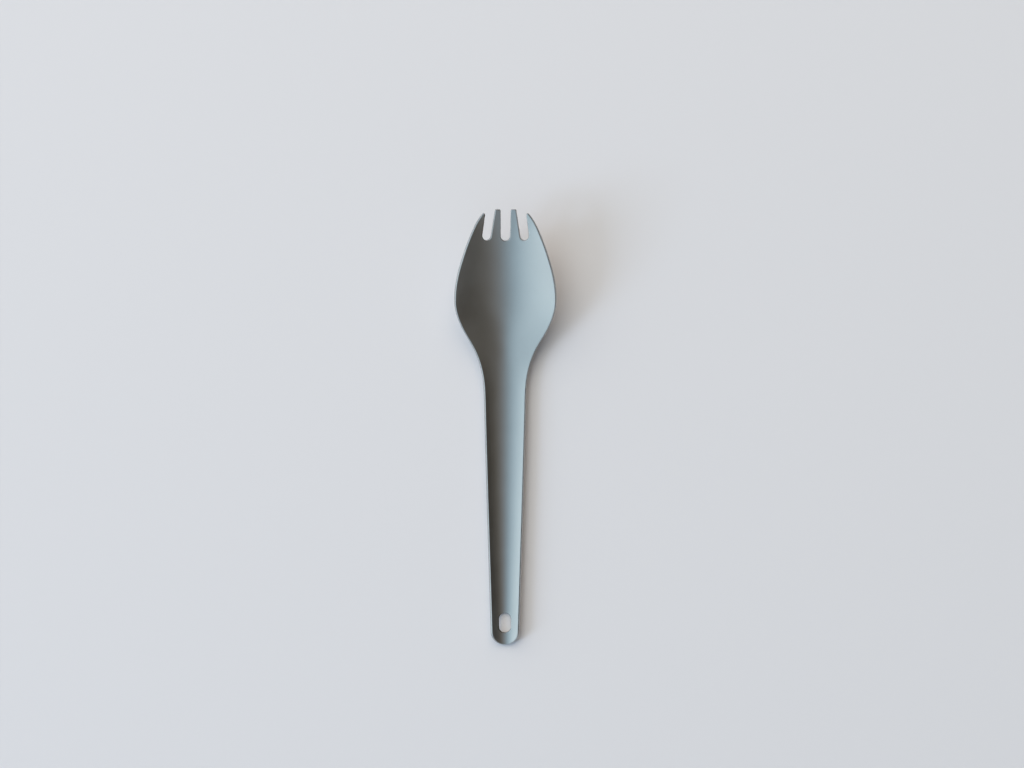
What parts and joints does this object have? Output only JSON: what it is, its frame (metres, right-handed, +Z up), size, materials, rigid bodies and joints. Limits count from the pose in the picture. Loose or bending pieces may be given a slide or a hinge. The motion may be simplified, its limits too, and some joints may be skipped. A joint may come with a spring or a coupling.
{
  "type": "spork",
  "caption": "Pressed metal spork: deep pointed bowl with short tines, a tapered trough handle and a long lanyard hole at its round end.",
  "frame": {"origin": "on the table, under the middle of the length, on the middle line of the spork", "axes": "+Y from the end of the handle towards the tines, +Z up out of the hollow side, +X across"},
  "size_m": [0.0386, 0.1651, 0.0169],
  "materials": {
    "titanium": "bead-blasted titanium, satin grey, smoother along the tumbled edges"
  },
  "bodies": {
    "root": {"spork": "titanium"}
  },
  "joints": []
}
